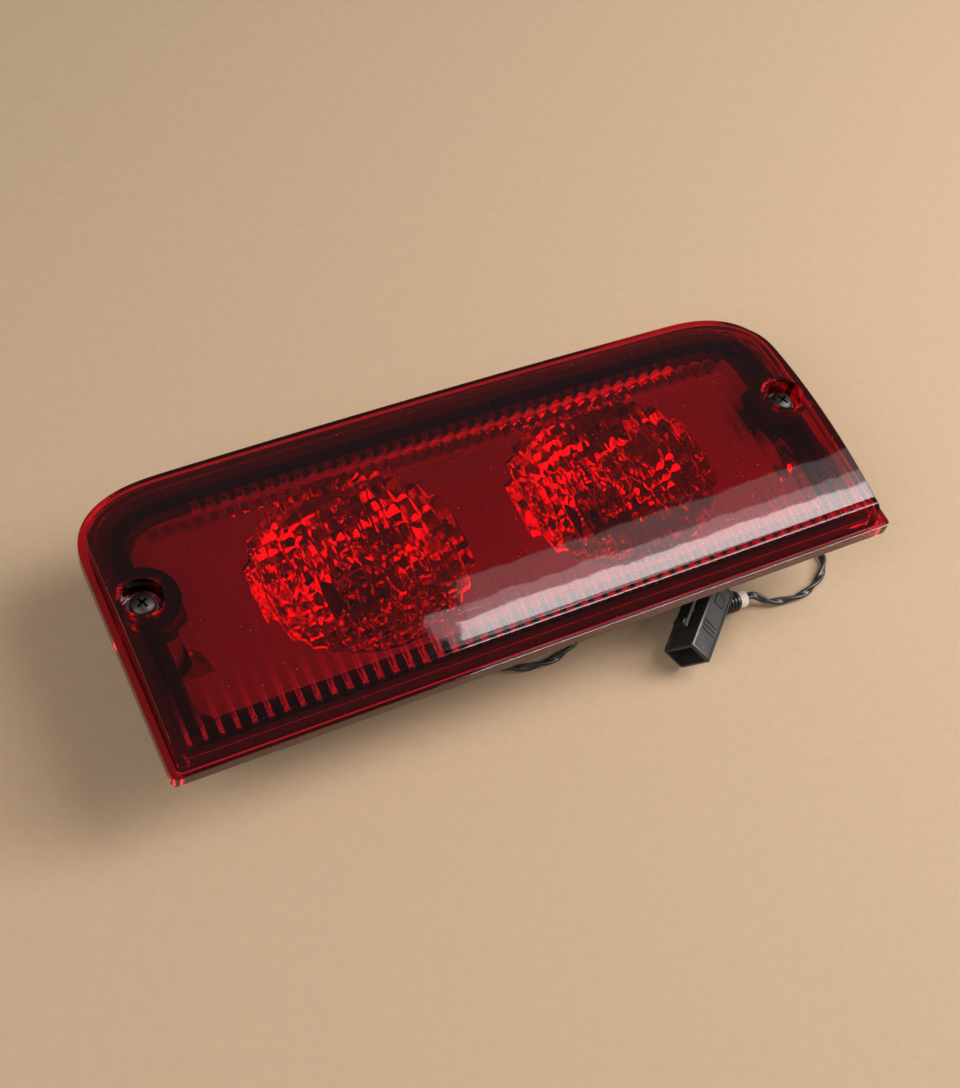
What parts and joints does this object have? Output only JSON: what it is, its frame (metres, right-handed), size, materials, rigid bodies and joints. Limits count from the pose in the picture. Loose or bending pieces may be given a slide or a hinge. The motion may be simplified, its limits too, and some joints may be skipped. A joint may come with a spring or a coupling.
{
  "type": "third brake light",
  "caption": "Wide high-mounted stop lamp: red crowned lens over a chromed reflector, black rear housing, twist-lock bulb sockets, mounting screws and a short harness with connector.",
  "frame": {"origin": "centre of the lamp's footprint, on the surface that its rear feet stand on", "axes": "+Z is the way the lens faces, +X runs along the lamp, -Y is the straight lower edge of the lens"},
  "size_m": [0.254, 0.1118, 0.0529],
  "materials": {
    "red_lens": "smooth transparent red acrylic",
    "black_plastic": "fine matte moulding",
    "reflector_chrome": "vacuum-metallised mirror with facets",
    "sealant": "black cured sealant",
    "foam_rubber": "closed-cell foam",
    "black_rubber": "matte rubber",
    "black_steel": "black coated steel",
    "zinc_steel": "zinc plated",
    "clear_glass": "clear bulb glass",
    "tungsten": "drawn wire",
    "brass": "bare spring brass",
    "pale_silicone": "pale matte silicone",
    "cord_sleeve": "satin black wire insulation"
  },
  "bodies": {
    "lamp": {"lens": "red_lens", "seal_bead": "sealant", "body_gasket": "foam_rubber", "rear_housing": "black_plastic", "reflector": "reflector_chrome", "screw_sleeve_left": "zinc_steel", "screw_sleeve_right": "zinc_steel", "screw_retainer_left": "zinc_steel", "screw_retainer_right": "zinc_steel", "vent_cap": "black_rubber", "harness_clip": "black_plastic", "harness_cord": "cord_sleeve", "link_cord": "cord_sleeve", "connector_housing": "black_plastic", "terminal_a": "zinc_steel", "terminal_b": "zinc_steel", "cable_seal": "pale_silicone"},
    "left_socket": {"socket_left": "black_plastic", "socket_seal_left": "black_rubber", "contact_left_a": "brass", "contact_left_b": "brass", "bulb_left": "clear_glass", "filament_left": "tungsten"},
    "right_socket": {"socket_right": "black_plastic", "socket_seal_right": "black_rubber", "contact_right_a": "brass", "contact_right_b": "brass", "bulb_right": "clear_glass", "filament_right": "tungsten"},
    "left_screw_washer": {"screw_washer_left": "black_rubber"},
    "left_screw": {"screw_left": "black_steel"},
    "right_screw_washer": {"screw_washer_right": "black_rubber"},
    "right_screw": {"screw_right": "black_steel"},
    "latch_lever": {"connector_latch": "black_plastic"},
    "lock": {"terminal_lock": "black_plastic"}
  },
  "joints": [
    {"name": "left_socket_twist", "type": "hinge", "parent": "lamp", "child": "left_socket", "pos_m": [-0.046, 0, 0.012], "axis": [0, 0, 1], "range_deg": [0, 90]},
    {"name": "right_socket_twist", "type": "hinge", "parent": "lamp", "child": "right_socket", "pos_m": [0.046, 0, 0.012], "axis": [0, 0, 1], "range_deg": [0, 90]},
    {"name": "left_screw_lift", "type": "slide", "parent": "lamp", "child": "left_screw_washer", "axis": [0, 0, 1], "range_m": [0, 0.00636]},
    {"name": "left_screw_turn", "type": "hinge", "parent": "left_screw_washer", "child": "left_screw", "pos_m": [-0.1155, 0.0053, 0.045], "axis": [0, 0, 1], "range_deg": [0, 1080]},
    {"name": "right_screw_lift", "type": "slide", "parent": "lamp", "child": "right_screw_washer", "axis": [0, 0, 1], "range_m": [0, 0.00636]},
    {"name": "right_screw_turn", "type": "hinge", "parent": "right_screw_washer", "child": "right_screw", "pos_m": [0.1155, 0.0053, 0.045], "axis": [0, 0, 1], "range_deg": [0, 1080]},
    {"name": "latch_press", "type": "hinge", "parent": "lamp", "child": "latch_lever", "pos_m": [0.0613, -0.04165, 0.01216], "axis": [0.3875, -0.4229, 0.8192], "range_deg": [-8, 0], "stiffness_Nm_per_rad": 0.05},
    {"name": "lock_slide", "type": "slide", "parent": "lamp", "child": "lock", "axis": [0.3875, -0.4229, 0.8192], "range_m": [0, 0.0015]}
  ],
  "couplings": [
    {"joint": "left_screw_turn", "follows": "left_screw_lift", "rad_per_m": 2963.7},
    {"joint": "right_screw_turn", "follows": "right_screw_lift", "rad_per_m": 2963.7}
  ]
}
